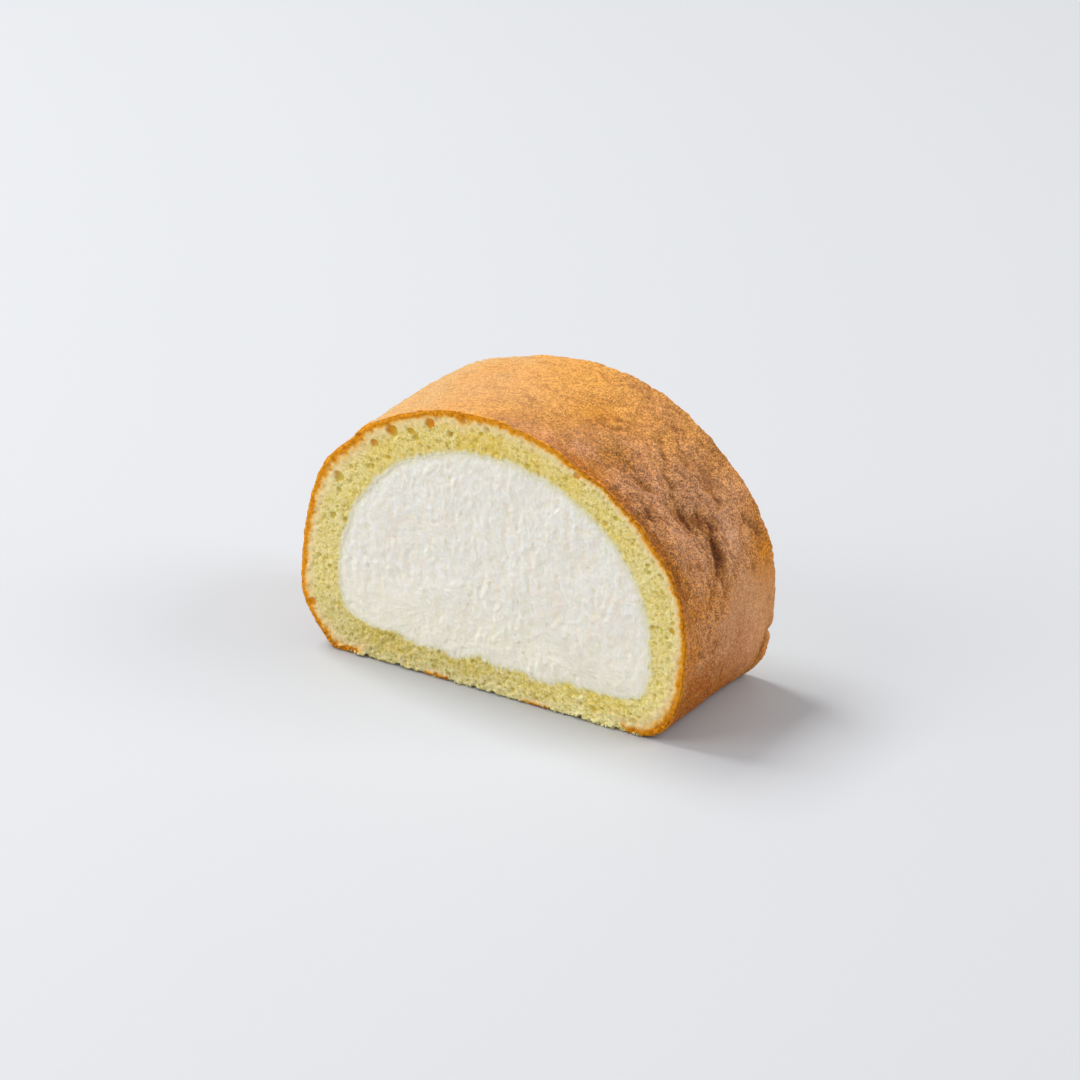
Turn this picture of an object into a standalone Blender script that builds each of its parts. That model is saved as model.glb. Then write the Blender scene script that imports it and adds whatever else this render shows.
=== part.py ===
"""A slice of swiss roll cake: a sheet of sponge rolled once round a core of whipped cream.

Metres, +Z up. The slice stands on its flat underside, between two cuts that face -Y and +Y. The
origin lies on the surface that it stands on, under the middle of the slice. Places on the skin are
measured around it from the left end of the flat underside, up the left side, over the crown and
down the right side, and back from the cut that faces -Y.
"""

import math

import bmesh
import bpy
from mathutils import Vector
from mathutils.geometry import interpolate_bezier

MM = 0.001

# Driving sizes of the slice
WIDTH = 92 * MM
HEIGHT = 60.9 * MM
LENGTH = 35.4 * MM
BASE_LEFT_X = -33.9 * MM  # the flat underside ends here on the left, in a round corner
BASE_RIGHT_X = 34.1 * MM
JOIN_X = 21.4 * MM  # where the sheet's two ends meet, in the underside
TOUCH_GAP = 0.3 * MM  # between the cream and the sponge, and between the sheet's two ends

# The sponge is this thick, from the cream to the skin
SPONGE_LEFT = 9.8 * MM
SPONGE_TOP = 8.8 * MM
SPONGE_RIGHT = 8.8 * MM
SPONGE_BASE = 7.4 * MM

# Knots of the two sections: x, z, heading in degrees, and the curve's reach before and after
SKIN_KNOTS = (
    (BASE_LEFT_X, 0.0, 180, 0.0, 6.7 * MM),
    (-WIDTH / 2, 12.8 * MM, 90, 5.3 * MM, 4.5 * MM),
    (-38.5 * MM, 42.9 * MM, 49, 8.0 * MM, 11.9 * MM),
    (-0.7 * MM, HEIGHT, 0, 20.0 * MM, 15.2 * MM),
    (WIDTH / 2, 23.3 * MM, -90, 24.9 * MM, 17.9 * MM),
    (BASE_RIGHT_X, 0.0, 180, 7.0 * MM, 0.0),
)
CREAM_KNOTS = (
    (-19.9 * MM, SPONGE_BASE, 180, 0.0, 17.5 * MM),
    (-WIDTH / 2 + SPONGE_LEFT, 19.4 * MM, 90, 7.4 * MM, 12.8 * MM),
    (2.0 * MM, HEIGHT - SPONGE_TOP, 0, 26.5 * MM, 15.2 * MM),
    (WIDTH / 2 - SPONGE_RIGHT, 19.3 * MM, -90, 21.1 * MM, 12.4 * MM),
    (20.2 * MM, SPONGE_BASE, 180, 15.1 * MM, 0.0),
)

# Rises and hollows of the skin: around, back, half length, half width, turn in degrees, height
SKIN_FORMS = {
    "left shoulder": (57 * MM, 20 * MM, 12 * MM, 14 * MM, 0, 0.9 * MM),
    "crown, back left": (79 * MM, 36 * MM, 12 * MM, 14 * MM, 0, -0.6 * MM),
    "crown, back right": (115 * MM, 36 * MM, 12 * MM, 14 * MM, 0, 1.2 * MM),
    "right shoulder, back": (146 * MM, 36 * MM, 10 * MM, 12 * MM, 0, -0.8 * MM),
    "right shoulder, middle": (139 * MM, 15 * MM, 9 * MM, 6 * MM, 0, -0.6 * MM),
    "crease": (145.8 * MM, 18.4 * MM, 4.4 * MM, 2.2 * MM, -29, -1.1 * MM),
    "pressed flat, low right": (164 * MM, 23 * MM, 11 * MM, 8 * MM, 0, -0.5 * MM),
}
FOOT = 6 * MM  # below this height the forms above fade out, so that the underside stays flat

# The cream's lower edge isn't level: the length, height and start of each wave along it
CREAM_WAVES = ((10.2 * MM, 0.5 * MM, 0.0), (24.0 * MM, 0.6 * MM, 5.0 * MM))
CREAM_LEVEL_FROM = 30 * MM  # the waves have faded out this far to either side

# How finely the surfaces are divided
SKIN_AROUND = 168
SKIN_ALONG = 18
CREAM_AROUND = 96
ARC_STEPS = 40
SEAM = 0.001 * MM  # points this close are one point
SMOOTH_ANGLE = math.radians(40)

OVERRUN = 5 * MM  # how far a cutter runs past the faces that it cuts


def material(name, colour, roughness):
    """A Principled BSDF of one colour."""
    made = bpy.data.materials.new(name)
    made.use_nodes = True
    shader = made.node_tree.nodes["Principled BSDF"]
    shader.inputs["Base Color"].default_value = (*colour, 1.0)
    shader.inputs["Roughness"].default_value = roughness
    shader.inputs["Metallic"].default_value = 0.0
    return made


def section_path(knots):
    """A closed section through its knots, as close points (x, z) with the first one repeated."""
    path = []
    for start, end in zip(knots, knots[1:]):
        first, last = Vector(start[:2]), Vector(end[:2])
        leaving, arriving = math.radians(start[2]), math.radians(end[2])
        handle_out = first + start[4] * Vector((math.cos(leaving), math.sin(leaving)))
        handle_in = last - end[3] * Vector((math.cos(arriving), math.sin(arriving)))
        path += interpolate_bezier(first, handle_out, handle_in, last, ARC_STEPS)[:-1]
    return [*path, Vector(knots[-1][:2]), path[0]]


def evenly(path, count):
    """Places spaced evenly along a closed path: each a point, and the distance around to it."""
    legs = [(end - start).length for start, end in zip(path, path[1:])]
    step = sum(legs) / count
    places = []
    leg = 0
    passed = 0.0
    for index in range(count):
        while index * step > passed + legs[leg]:
            passed += legs[leg]
            leg += 1
        share = (index * step - passed) / legs[leg]
        places.append((path[leg].lerp(path[leg + 1], share), index * step))
    return places


def outward(places, index):
    """The direction out of a section at one of its places."""
    along = places[(index + 1) % len(places)][0] - places[index - 1][0]
    return Vector((-along.y, along.x)).normalized()


def skin_rise(around, back):
    """How far the skin stands out of its plain section."""
    rise = 0.0
    for form_around, form_back, half_length, half_width, turn, height in SKIN_FORMS.values():
        cosine, sine = math.cos(math.radians(turn)), math.sin(math.radians(turn))
        aside, behind = around - form_around, back - form_back
        lengthwise = (aside * cosine + behind * sine) / half_length
        crosswise = (behind * cosine - aside * sine) / half_width
        rise += height * math.exp(-(lengthwise**2) - crosswise**2)
    return rise


def cream_sag(x):
    """How far the cream's lower edge hangs below its level."""
    fade = max(0.0, 1.0 - (x / CREAM_LEVEL_FROM) ** 4)
    waves = (tall * math.sin(math.tau * (x - start) / long) for long, tall, start in CREAM_WAVES)
    return fade * sum(waves)


def wrapped(name, around, along, place):
    """A closed solid: a sheet wrapped round into a tube by place(), with its two ends filled."""
    mesh = bmesh.new()
    bmesh.ops.create_grid(mesh, x_segments=around, y_segments=along, size=0.5)
    for corner in mesh.verts:
        corner.co = place(round((corner.co.x + 0.5) * around) % around, corner.co.y + 0.5)
    bmesh.ops.remove_doubles(mesh, verts=mesh.verts[:], dist=SEAM)
    ends = [edge for edge in mesh.edges if edge.is_boundary]
    bmesh.ops.edgeloop_fill(mesh, edges=ends)
    bmesh.ops.recalc_face_normals(mesh, faces=mesh.faces[:])
    return finished(name, mesh)


def finished(name, mesh):
    """An object of this mesh, shaded smooth but for its sharp edges."""
    data = bpy.data.meshes.new(name)
    mesh.to_mesh(data)
    mesh.free()
    data.shade_smooth()
    data.set_sharp_from_angle(angle=SMOOTH_ANGLE)
    made = bpy.data.objects.new(name, data)
    bpy.context.scene.collection.objects.link(made)
    return made


def rolled_slice(name):
    """The whole slice out to its skin, with no room in it for the cream yet."""
    places = evenly(section_path(SKIN_KNOTS), SKIN_AROUND)

    def place(index, share):
        point, around = places[index]
        fade = min(1.0, point.y / FOOT)
        point = point + fade * skin_rise(around, share * LENGTH) * outward(places, index)
        return Vector((point.x, (share - 0.5) * LENGTH, point.y))

    return wrapped(name, SKIN_AROUND, SKIN_ALONG, place)


def cream_core(name, grown, overrun):
    """The core, grown outwards all round and run past both cuts by these lengths."""
    places = evenly(section_path(CREAM_KNOTS), CREAM_AROUND)
    places = [
        (point - Vector((0.0, cream_sag(point.x) if point.y < 1.5 * SPONGE_BASE else 0.0)), around)
        for point, around in places
    ]

    def place(index, share):
        point = places[index][0] + grown * outward(places, index)
        return Vector((point.x, (share - 0.5) * (LENGTH + 2 * overrun), point.y))

    return wrapped(name, CREAM_AROUND, 1, place)


def join_cutter():
    """A thin blade that parts the sheet's two ends, from the underside up to the cream."""
    mesh = bmesh.new()
    bmesh.ops.create_cube(mesh, size=1.0)
    depth = SPONGE_BASE + 2 * OVERRUN
    bmesh.ops.scale(mesh, vec=(TOUCH_GAP, LENGTH + 2 * OVERRUN, depth), verts=mesh.verts[:])
    bmesh.ops.translate(mesh, vec=(JOIN_X, 0.0, SPONGE_BASE / 2), verts=mesh.verts[:])
    return finished("join_cutter", mesh)


def cut_away(solid, cutter):
    """Cuts one solid out of another, and keeps the cutter as a helper that isn't rendered."""
    cut = solid.modifiers.new(cutter.name, "BOOLEAN")
    cut.operation = "DIFFERENCE"
    cut.solver = "EXACT"
    cut.object = cutter
    cutter.hide_render = True
    cutter.display_type = "WIRE"


def sponge():
    """The sheet of sponge, with its browned skin outside and its two ends under the slice."""
    sheet = rolled_slice("sponge")
    cut_away(sheet, cream_core("cream_cutter", TOUCH_GAP, OVERRUN))
    cut_away(sheet, join_cutter())
    sheet.data.materials.append(material("sponge_crumb", (0.66, 0.53, 0.22), 0.85))
    sheet.data.materials.append(material("browned_skin", (0.56, 0.24, 0.07), 0.7))
    for face in sheet.data.polygons:
        browned = abs(face.normal.y) < 0.9 and face.center.z > SEAM
        face.material_index = 1 if browned else 0
    return sheet


def cream():
    """The core of whipped cream, flush with both cuts."""
    core = cream_core("cream", 0.0, 0.0)
    core.data.materials.append(material("whipped_cream", (0.86, 0.82, 0.74), 0.6))
    return core


def main():
    for old in list(bpy.data.objects):
        bpy.data.objects.remove(old, do_unlink=True)
    whole = bpy.data.objects.new("slice", None)
    bpy.context.scene.collection.objects.link(whole)
    for piece in (sponge(), cream()):
        piece.parent = whole


main()
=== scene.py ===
"""The looks of a slice of swiss roll cake: crumb, browned skin, whipped cream and loose crumbs.

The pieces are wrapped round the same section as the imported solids, and ride on the slice's one
body. Lengths are in metres. Places on the skin are measured around it from the left end of the flat
underside, up the left side, over the crown and down the right side, and back from the front cut.
"""

import math
import random

import bmesh
import bpy
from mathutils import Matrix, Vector, noise
from mathutils.geometry import interpolate_bezier


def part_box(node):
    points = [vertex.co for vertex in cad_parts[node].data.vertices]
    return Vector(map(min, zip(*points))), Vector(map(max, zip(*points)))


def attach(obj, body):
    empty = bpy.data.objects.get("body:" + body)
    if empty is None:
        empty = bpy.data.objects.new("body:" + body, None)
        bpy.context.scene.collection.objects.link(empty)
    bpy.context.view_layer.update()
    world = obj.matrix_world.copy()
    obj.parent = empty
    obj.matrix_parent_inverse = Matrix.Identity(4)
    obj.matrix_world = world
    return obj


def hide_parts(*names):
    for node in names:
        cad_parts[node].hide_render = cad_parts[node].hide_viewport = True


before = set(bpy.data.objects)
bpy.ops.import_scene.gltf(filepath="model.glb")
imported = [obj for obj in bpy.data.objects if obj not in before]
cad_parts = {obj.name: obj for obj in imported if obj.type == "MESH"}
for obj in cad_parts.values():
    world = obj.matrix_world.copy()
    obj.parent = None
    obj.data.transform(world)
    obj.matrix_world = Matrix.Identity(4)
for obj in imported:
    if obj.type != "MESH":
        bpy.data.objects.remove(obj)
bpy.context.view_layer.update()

bl_info = {
    "name": "Swiss roll slice",
    "version": (1, 0, 0),
    "blender": (4, 5, 0),
    "location": "View3D > Sidebar > Swiss roll",
    "description": "Builds the crumb, skin, cream and crumbs of a slice of swiss roll cake",
    "category": "Mesh",
}

MM = 0.001
BODY = "root"
LOW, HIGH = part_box("sponge")
WIDTH = HIGH.x - LOW.x
HEIGHT = HIGH.z - LOW.z
LENGTH = HIGH.y - LOW.y
FRONT = LOW.y

# The section, as the solids have it: x, z, heading in degrees, and the curve's reach either side
BASE_LEFT_X = -33.9 * MM
BASE_RIGHT_X = 34.1 * MM
SPONGE_BASE = 7.4 * MM
JOIN_X = 21.4 * MM
SKIN_KNOTS = (
    (BASE_LEFT_X, 0.0, 180, 0.0, 6.7 * MM),
    (-WIDTH / 2, 12.8 * MM, 90, 5.3 * MM, 4.5 * MM),
    (-38.5 * MM, 42.9 * MM, 49, 8.0 * MM, 11.9 * MM),
    (-0.7 * MM, HEIGHT, 0, 20.0 * MM, 15.2 * MM),
    (WIDTH / 2, 23.3 * MM, -90, 24.9 * MM, 17.9 * MM),
    (BASE_RIGHT_X, 0.0, 180, 7.0 * MM, 0.0),
)
CREAM_KNOTS = (
    (-19.9 * MM, SPONGE_BASE, 180, 0.0, 17.5 * MM),
    (-36.2 * MM, 19.4 * MM, 90, 7.4 * MM, 12.8 * MM),
    (2.0 * MM, 52.1 * MM, 0, 26.5 * MM, 15.2 * MM),
    (37.2 * MM, 19.3 * MM, -90, 21.1 * MM, 12.4 * MM),
    (20.2 * MM, SPONGE_BASE, 180, 15.1 * MM, 0.0),
)
CREAM_WAVES = ((10.2 * MM, 0.5 * MM, 0.0), (24.0 * MM, 0.6 * MM, 5.0 * MM))
CREAM_LEVEL_FROM = 30 * MM
CENTRE = Vector((0.5 * MM, 26 * MM))  # both outlines are seen whole from here
ARC_STEPS = 40
TABLE_STEPS = 1440
FOOT = 6 * MM

# Broad forms of the skin, as the solids have them: around, back, half length, half width, turn, height
SKIN_FORMS = (
    (57 * MM, 20 * MM, 12 * MM, 14 * MM, 0, 0.9 * MM),
    (79 * MM, 36 * MM, 12 * MM, 14 * MM, 0, -0.6 * MM),
    (115 * MM, 36 * MM, 12 * MM, 14 * MM, 0, 1.2 * MM),
    (146 * MM, 36 * MM, 10 * MM, 12 * MM, 0, -0.8 * MM),
    (139 * MM, 15 * MM, 9 * MM, 6 * MM, 0, -0.6 * MM),
    (164 * MM, 23 * MM, 11 * MM, 8 * MM, 0, -0.5 * MM),
    (36 * MM, 0 * MM, 20 * MM, 10 * MM, 0, 0.75 * MM),
    (57.5 * MM, 0 * MM, 3.5 * MM, 12 * MM, 0, -0.3 * MM),
    (63 * MM, 0 * MM, 3.0 * MM, 6 * MM, 0, 0.4 * MM),
    (66 * MM, 28 * MM, 6 * MM, 12 * MM, 0, 0.35 * MM),
    (80 * MM, 37 * MM, 6 * MM, 7 * MM, 0, -0.35 * MM),
    (107 * MM, 37 * MM, 4 * MM, 6 * MM, 0, 0.5 * MM),
    (146 * MM, 37 * MM, 6 * MM, 5 * MM, 0, 0.55 * MM),
    (178 * MM, 35.2 * MM, 6 * MM, 2.0 * MM, 0, 0.55 * MM),
    (176 * MM, 32.7 * MM, 6 * MM, 0.6 * MM, -7, -1.0 * MM),
    (176 * MM, 31.9 * MM, 5.5 * MM, 0.5 * MM, -7, 0.35 * MM),
    (171.2 * MM, 35.6 * MM, 0.8 * MM, 1.6 * MM, 0, -1.0 * MM),
)
# Two corners of the foot spread a little, right down to the underside
CORNER_FORMS = (
    (3.5 * MM, 0 * MM, 4.0 * MM, 9 * MM, 0, 1.1 * MM),
    (185 * MM, 35.4 * MM, 5.0 * MM, 8 * MM, 0, 0.8 * MM),
)
# Where the skin is lighter or darker, and redder or paler: around, back, half length, half width, turn, lighter, redder
SKIN_TONES = (
    (75 * MM, 18 * MM, 14 * MM, 20 * MM, 0, -0.04, 0.0),
    (84 * MM, 14 * MM, 8 * MM, 16 * MM, 0, -0.03, -0.05),
    (100 * MM, 30 * MM, 8 * MM, 7 * MM, 0, -0.05, 0.03),
    (106 * MM, 3 * MM, 3 * MM, 3 * MM, 0, 0.25, 0.0),
    (116 * MM, 17 * MM, 8 * MM, 4 * MM, 0, 0.12, 0.0),
    (120 * MM, 28 * MM, 9 * MM, 7 * MM, 0, 0.14, 0.0),
    (122 * MM, 10 * MM, 5 * MM, 3.5 * MM, 0, -0.2, 0.1),
    (118 * MM, 2 * MM, 8 * MM, 3 * MM, 0, 0.0, 0.1),
    (135 * MM, 1.5 * MM, 14 * MM, 2.2 * MM, 0, -0.14, 0.06),
    (139.5 * MM, 15.5 * MM, 5.5 * MM, 2.4 * MM, 40, -0.18, 0.06),
    # Darker in the big crease: browner skin with painted shade
    (147.3 * MM, 17.4 * MM, 4.0 * MM, 1.5 * MM, -8, -0.42, 0.08),
    (143 * MM, 9.3 * MM, 7 * MM, 3.5 * MM, 0, 0.18, 0.0),
    (133 * MM, 16.5 * MM, 4 * MM, 4 * MM, 0, -0.13, 0.0),
    (117.5 * MM, 12.5 * MM, 4 * MM, 4 * MM, 0, -0.12, 0.0),
    (120 * MM, 24 * MM, 5 * MM, 4 * MM, 0, 0.06, 0.0),
    (109 * MM, 18 * MM, 5 * MM, 6 * MM, 0, 0.0, 0.06),
    (94 * MM, 13 * MM, 6 * MM, 6 * MM, 0, -0.04, -0.03),
    (177 * MM, 34.8 * MM, 6 * MM, 0.9 * MM, -5, 0.25, 0.05),
    # Painted shade in the groove beside the flap at the foot
    (176 * MM, 32.7 * MM, 6 * MM, 0.6 * MM, -7, -0.3, 0.08),
    (146 * MM, 2 * MM, 9 * MM, 4 * MM, 0, -0.08, 0.12),
    (146 * MM, 24 * MM, 5 * MM, 4 * MM, 0, 0.25, -0.08),
    (138 * MM, 31 * MM, 5 * MM, 4 * MM, 0, 0.13, -0.1),
    (154 * MM, 32 * MM, 5 * MM, 5 * MM, 0, 0.05, 0.1),
    (156 * MM, 12 * MM, 5 * MM, 8 * MM, 0, 0.0, 0.1),
    (162 * MM, 2 * MM, 10 * MM, 4 * MM, 0, 0.03, 0.1),
    # Lighter, paler pressed patch: partly painted sheen
    (172 * MM, 28 * MM, 9 * MM, 7 * MM, 0, 0.25, -0.08),
    (181 * MM, 14 * MM, 7 * MM, 16 * MM, 0, 0.1, 0.1),
)
# How thick the browned rim is on the cuts, beyond its least, and how dark: around, half length, more, dark
RIM_LEAST = 1.4 * MM
RIM_FORMS = (
    (2 * MM, 8 * MM, 0.4 * MM, 0.9),
    (54 * MM, 13 * MM, 0.55 * MM, 0.15),
    (88 * MM, 1.6 * MM, 1.0 * MM, 0.4),
    (80 * MM, 9 * MM, 0.0, 0.5),
    (124 * MM, 10 * MM, -0.35 * MM, 0.9),
    (150 * MM, 12 * MM, -0.3 * MM, 0.7),
    (181 * MM, 8 * MM, 0.6 * MM, 0.6),
    (223 * MM, 22 * MM, -0.9 * MM, 0.9),
)
# Creases and pocks of the skin, in the same terms
CREASES = (
    (142.6 * MM, 18.0 * MM, 4.2 * MM, 2.4 * MM, -12, -0.5 * MM),
    (147.0 * MM, 17.2 * MM, 3.1 * MM, 1.5 * MM, -8, -1.3 * MM),
    (147.6 * MM, 18.4 * MM, 2.4 * MM, 0.5 * MM, -10, -0.6 * MM),
    (141.9 * MM, 19.9 * MM, 1.6 * MM, 0.9 * MM, 20, -0.7 * MM),
    (151.3 * MM, 16.0 * MM, 1.8 * MM, 0.7 * MM, -10, -0.5 * MM),
    (148.6 * MM, 15.6 * MM, 1.9 * MM, 0.7 * MM, 12, -0.5 * MM),
    (139.4 * MM, 17.4 * MM, 1.7 * MM, 1.1 * MM, 0, -0.9 * MM),
    (134.6 * MM, 25.0 * MM, 3.4 * MM, 0.7 * MM, -8, -0.5 * MM),
    (135.6 * MM, 20.4 * MM, 3.0 * MM, 0.6 * MM, -14, -0.4 * MM),
    (138.4 * MM, 15.2 * MM, 1.1 * MM, 0.8 * MM, 40, -0.6 * MM),
    (136.6 * MM, 12.6 * MM, 3.1 * MM, 1.5 * MM, 12, -1.1 * MM),
    (139.9 * MM, 13.6 * MM, 1.6 * MM, 0.7 * MM, 35, -0.5 * MM),
    (130.4 * MM, 15.8 * MM, 3.4 * MM, 0.9 * MM, -30, -0.7 * MM),
    (127.2 * MM, 9.8 * MM, 1.8 * MM, 1.1 * MM, 20, -0.7 * MM),
    (119.5 * MM, 10.6 * MM, 3.8 * MM, 0.7 * MM, 10, -0.4 * MM),
    (132.6 * MM, 5.2 * MM, 2.0 * MM, 1.2 * MM, 10, -0.8 * MM),
    (133.6 * MM, 1.6 * MM, 2.9 * MM, 1.2 * MM, 0, -0.6 * MM),
    (125.4 * MM, 1.3 * MM, 1.9 * MM, 1.2 * MM, 0, -0.5 * MM),
    (134.2 * MM, 26.4 * MM, 2.6 * MM, 1.1 * MM, -30, -0.7 * MM),
    (138.9 * MM, 24.1 * MM, 1.9 * MM, 0.8 * MM, -30, -0.6 * MM),
    (128.4 * MM, 24.0 * MM, 1.1 * MM, 0.9 * MM, 0, -0.6 * MM),
    (124.6 * MM, 20.4 * MM, 2.4 * MM, 0.7 * MM, -40, -0.5 * MM),
    (121.9 * MM, 22.9 * MM, 1.9 * MM, 0.8 * MM, -20, -0.4 * MM),
    (112.0 * MM, 16.9 * MM, 1.9 * MM, 1.2 * MM, 0, -0.5 * MM),
    (89.4 * MM, 15.1 * MM, 2.2 * MM, 0.7 * MM, 10, -0.35 * MM),
    (95.5 * MM, 13.6 * MM, 2.6 * MM, 0.8 * MM, -15, -0.35 * MM),
    (113.5 * MM, 21.0 * MM, 3.1 * MM, 0.7 * MM, 12, -0.4 * MM),
    (95.6 * MM, 20.1 * MM, 0.8 * MM, 0.8 * MM, 0, -0.5 * MM),
    (144.6 * MM, 30.2 * MM, 2.2 * MM, 1.2 * MM, 25, -0.6 * MM),
    (148.4 * MM, 33.0 * MM, 2.2 * MM, 1.2 * MM, 40, -0.7 * MM),
    (155.0 * MM, 32.8 * MM, 1.8 * MM, 0.9 * MM, -45, -0.7 * MM),
    (154.5 * MM, 28.0 * MM, 1.9 * MM, 0.9 * MM, -8, -0.7 * MM),
    (151.5 * MM, 30.6 * MM, 1.9 * MM, 0.7 * MM, 10, -0.4 * MM),
    (163.7 * MM, 32.4 * MM, 1.0 * MM, 0.9 * MM, 0, -0.5 * MM),
    (152.4 * MM, 20.8 * MM, 3.5 * MM, 1.1 * MM, -60, -0.5 * MM),
    (156.2 * MM, 15.9 * MM, 4.3 * MM, 0.9 * MM, -42, -0.45 * MM),
    (153.5 * MM, 11.6 * MM, 5.5 * MM, 0.8 * MM, -48, -0.35 * MM),
    (160.4 * MM, 9.6 * MM, 4.8 * MM, 0.8 * MM, -52, -0.3 * MM),
    (165.2 * MM, 6.3 * MM, 1.1 * MM, 0.8 * MM, 20, -0.5 * MM),
)
# Large bubbles cut open in the crumb: x, z, radius, which cut (-1 front, 1 back)
BUBBLES = (
    (-23.3 * MM, 52.8 * MM, 1.4 * MM, -1),
    (-13.9 * MM, 56.3 * MM, 1.1 * MM, -1),
    (-36.3 * MM, 39.4 * MM, 1.1 * MM, -1),
    (-27.4 * MM, 48.9 * MM, 0.9 * MM, -1),
    (-43.5 * MM, 9.4 * MM, 0.9 * MM, -1),
    (-18.6 * MM, 53.6 * MM, 0.8 * MM, -1),
    (-17.4 * MM, 52.6 * MM, 0.7 * MM, -1),
    (-24.1 * MM, 46.6 * MM, 0.6 * MM, -1),
    (-33.3 * MM, 42.4 * MM, 0.5 * MM, -1),
    (-39.0 * MM, 18.6 * MM, 0.5 * MM, -1),
    (36.3 * MM, 28.9 * MM, 0.6 * MM, -1),
    (38.1 * MM, 24.9 * MM, 0.7 * MM, -1),
    (42.6 * MM, 25.2 * MM, 0.7 * MM, -1),
    (29.5 * MM, 46.4 * MM, 0.6 * MM, -1),
    (20.6 * MM, 53.3 * MM, 0.8 * MM, -1),
    (-1.8 * MM, 57.0 * MM, 0.5 * MM, -1),
    (24.5 * MM, 3.0 * MM, 0.8 * MM, -1),
    (34.2 * MM, 3.1 * MM, 0.7 * MM, -1),
    (-31.5 * MM, 46.8 * MM, 1.2 * MM, 1),
    (9.0 * MM, 57.4 * MM, 0.9 * MM, 1),
    (31.6 * MM, 45.4 * MM, 1.1 * MM, 1),
    (41.9 * MM, 14.5 * MM, 0.8 * MM, 1),
    (-41.6 * MM, 22.5 * MM, 0.7 * MM, 1),
    (-8.0 * MM, 3.4 * MM, 0.8 * MM, 1),
)

# How finely each piece is divided
SKIN_AROUND = 760
SKIN_ROWS = 105
CURL_ROWS = 3
HIDDEN_ROWS = 12
CRUMB_AROUND = 960
CRUMB_RADIAL = 36
CREAM_ACROSS = 190
SEAM = 0.001 * MM


# ---------------------------------------------------------------- sections


def section_path(knots):
    """A closed section through its knots, as close points (x, z) with the first one repeated."""
    path = []
    for start, end in zip(knots, knots[1:]):
        first, last = Vector(start[:2]), Vector(end[:2])
        leaving, arriving = math.radians(start[2]), math.radians(end[2])
        handle_out = first + start[4] * Vector((math.cos(leaving), math.sin(leaving)))
        handle_in = last - end[3] * Vector((math.cos(arriving), math.sin(arriving)))
        path += interpolate_bezier(first, handle_out, handle_in, last, ARC_STEPS)[:-1]
    return [*path, Vector(knots[-1][:2]), path[0]]


def evenly(path, count):
    """Places spaced evenly along a closed path: each a point, and the distance around to it."""
    legs = [(end - start).length for start, end in zip(path, path[1:])]
    step = sum(legs) / count
    places = []
    leg = 0
    passed = 0.0
    for index in range(count):
        while index * step > passed + legs[leg]:
            passed += legs[leg]
            leg += 1
        share = (index * step - passed) / legs[leg]
        places.append((path[leg].lerp(path[leg + 1], share), index * step))
    return places


def outward(places, index):
    """The direction out of a section at one of its places."""
    along = places[(index + 1) % len(places)][0] - places[index - 1][0]
    return Vector((-along.y, along.x)).normalized()


def cream_sag(x):
    """How far the cream's lower edge hangs below its level."""
    fade = max(0.0, 1.0 - (x / CREAM_LEVEL_FROM) ** 4)
    waves = (tall * math.sin(math.tau * (x - start) / long) for long, tall, start in CREAM_WAVES)
    return fade * sum(waves)


class Outline:
    """An outline as its distance from the centre in every direction, with a ragged edge if asked."""

    def __init__(self, path, ragged, seed):
        self.reach = [0.0] * TABLE_STEPS
        self.ragged = ragged
        self.seed = seed
        spokes = sorted((self.angle_of(point), (point - CENTRE).length) for point in path[:-1])
        spokes = [(spokes[-1][0] - math.tau, spokes[-1][1]), *spokes]
        spokes.append((spokes[1][0] + math.tau, spokes[1][1]))
        spoke = 0
        for step in range(TABLE_STEPS):
            angle = math.tau * step / TABLE_STEPS
            while spokes[spoke + 1][0] < angle:
                spoke += 1
            (before, near), (after, far) = spokes[spoke], spokes[spoke + 1]
            self.reach[step] = near + (far - near) * (angle - before) / max(after - before, 1e-9)

    @staticmethod
    def angle_of(point):
        return math.atan2(point.y - CENTRE.y, point.x - CENTRE.x) % math.tau

    def at(self, angle, side):
        """The outline's distance from the centre in this direction, at one of the two cuts."""
        place = (angle % math.tau) / math.tau * TABLE_STEPS
        step = int(place) % TABLE_STEPS
        near, far = self.reach[step], self.reach[(step + 1) % TABLE_STEPS]
        distance = near + (far - near) * (place - int(place))
        if self.ragged:
            edge = distance * Vector((math.cos(angle), side, math.sin(angle)))
            wide = noise.noise(edge / (3.4 * MM) + self.seed)
            fine = noise.noise(edge / (1.1 * MM) + self.seed)
            along = Vector((edge.x / (0.65 * MM), side, 0.5))
            dragged = smooth(-0.45, -0.85, math.sin(angle)) * abs(noise.noise(along))
            distance += self.ragged * (wide + 0.8 * fine + 3.0 * dragged)
        return distance

    def point(self, angle, side, share=1.0):
        """A point at this share of the way out to the outline."""
        distance = share * self.at(angle, side)
        return CENTRE + distance * Vector((math.cos(angle), math.sin(angle)))


SKIN_PATH = section_path(SKIN_KNOTS)
CREAM_PATH = [
    point - Vector((0.0, cream_sag(point.x) if point.y < 1.5 * SPONGE_BASE else 0.0))
    for spot, _ in evenly(section_path(CREAM_KNOTS), TABLE_STEPS)
    for point in (spot,)
]
CREAM_OUTLINE = Outline([*CREAM_PATH, CREAM_PATH[0]], 0.45 * MM, Vector((7.0, 3.0, 5.0)))


# ---------------------------------------------------------------- relief


def smooth(low, high, value):
    """0 below low, 1 above high, and an even rise between them."""
    share = min(1.0, max(0.0, (value - low) / (high - low)))
    return share * share * (3.0 - 2.0 * share)


def dent(form, around, back):
    """How strongly one form of the skin is felt at a place: 1 in its middle, 0 far away."""
    cosine, sine = math.cos(math.radians(form[4])), math.sin(math.radians(form[4]))
    aside, behind = around - form[0], back - form[1]
    if abs(aside) > 3 * form[2] and abs(aside) > 3 * form[3]:
        return 0.0
    lengthwise = (aside * cosine + behind * sine) / form[2]
    crosswise = (behind * cosine - aside * sine) / form[3]
    return math.exp(-(lengthwise**2) - crosswise**2)


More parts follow.
